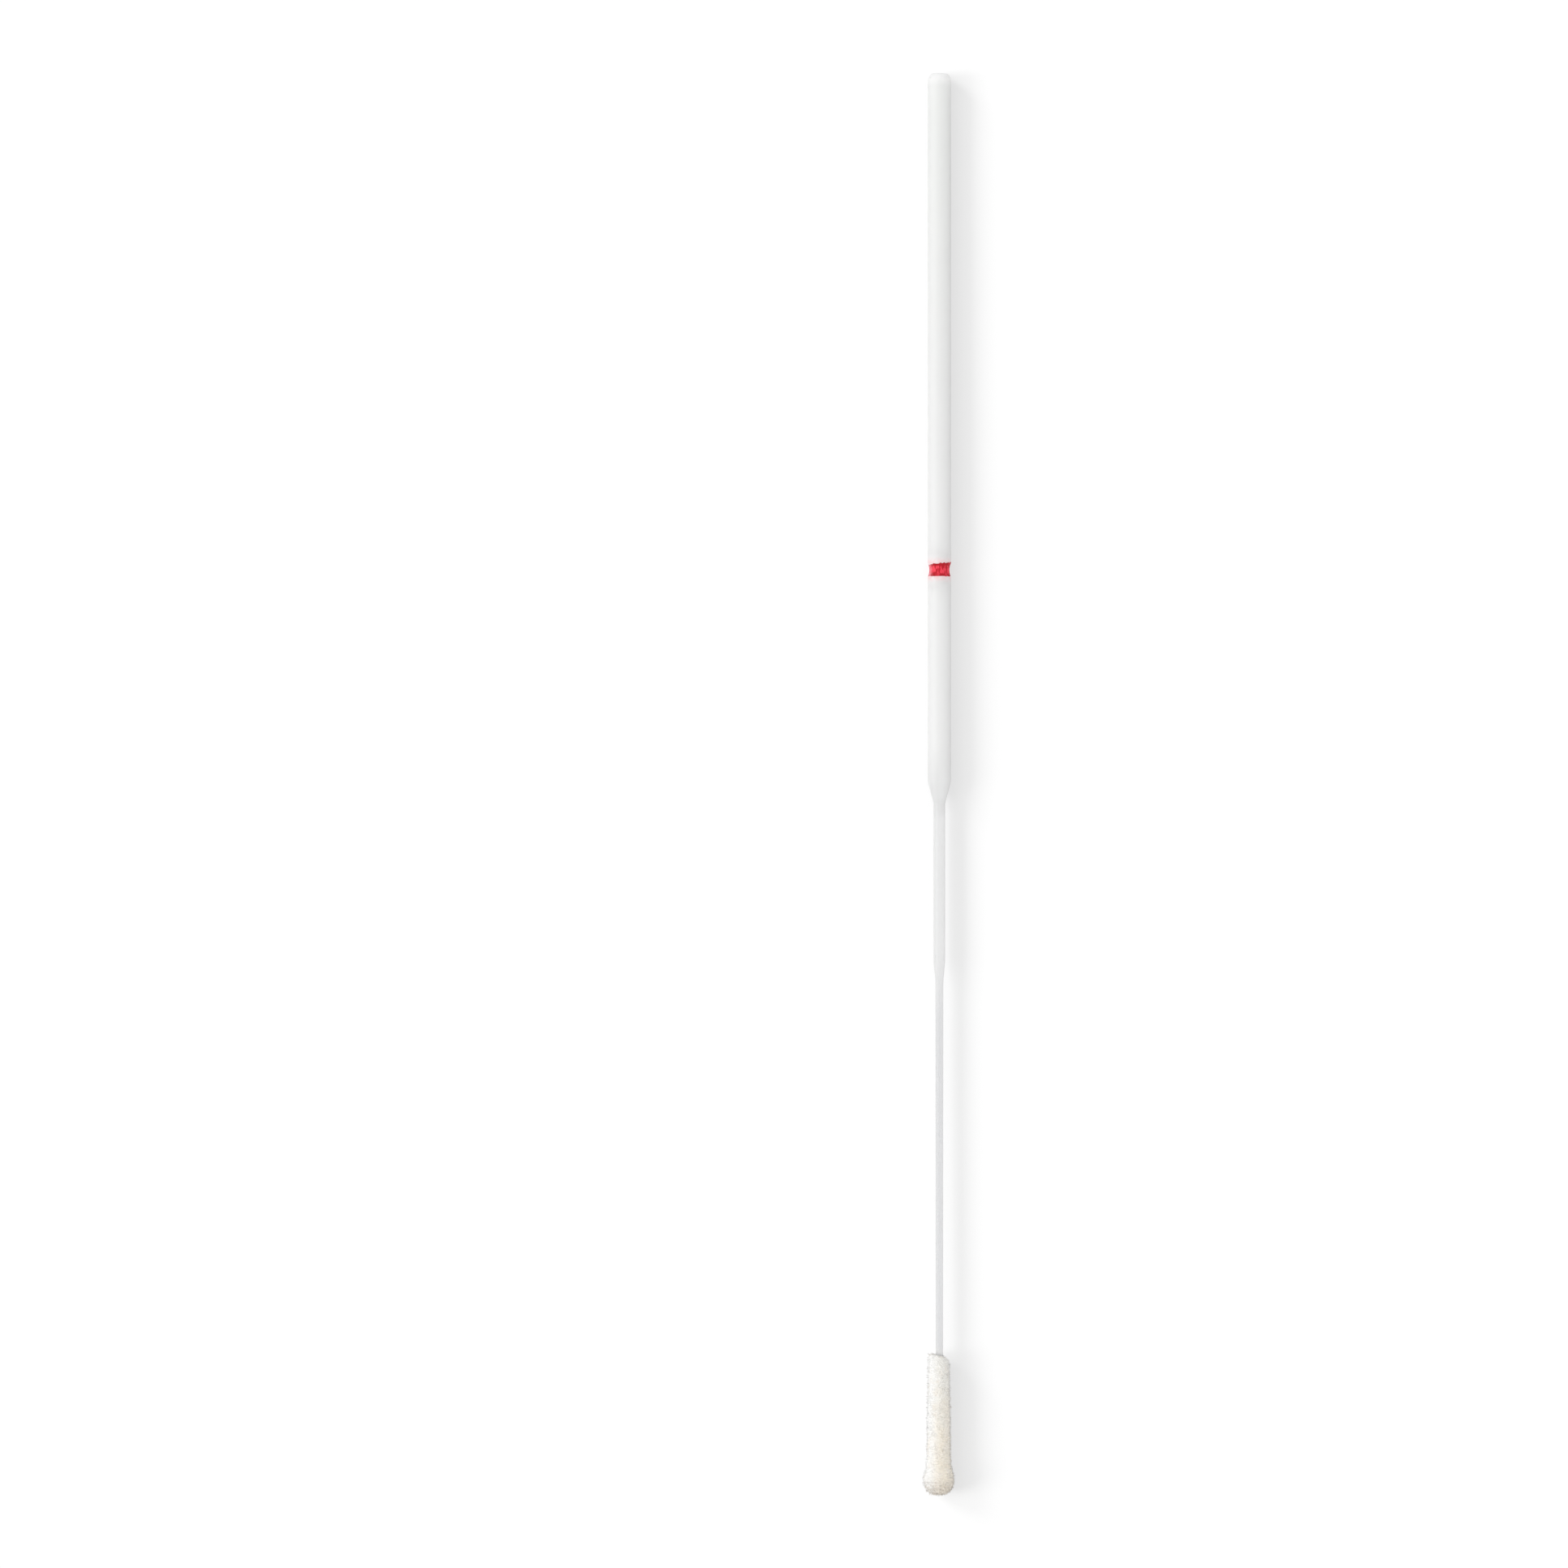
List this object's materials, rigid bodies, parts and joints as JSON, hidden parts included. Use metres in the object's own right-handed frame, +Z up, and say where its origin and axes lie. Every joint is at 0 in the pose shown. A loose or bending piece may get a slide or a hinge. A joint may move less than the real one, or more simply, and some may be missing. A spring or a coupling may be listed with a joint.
{
  "type": "flocked specimen swab",
  "caption": "Slim moulded swab stick: thick handle with a red-marked break groove, shoulder down to a thin flexible neck, and a soft flocked bulb tip for taking specimens.",
  "frame": {"origin": "middle of the swab's footprint on the surface it lies on, which is the centre of its bounding box at its bottom", "axes": "+Y along the swab from the flocked tip to the end of the handle, +Z up from the surface, +X across the swab"},
  "size_m": [0.0034, 0.1538, 0.0034],
  "materials": {
    "shaft_plastic": "white moulded plastic, satin, very slightly translucent",
    "ink": "thin bright red ink, slightly patchy",
    "flock": "short upright cream-white fibres"
  },
  "bodies": {
    "root": {"shaft": "shaft_plastic", "break_mark": "ink", "flocked_tip": "flock"}
  },
  "joints": []
}
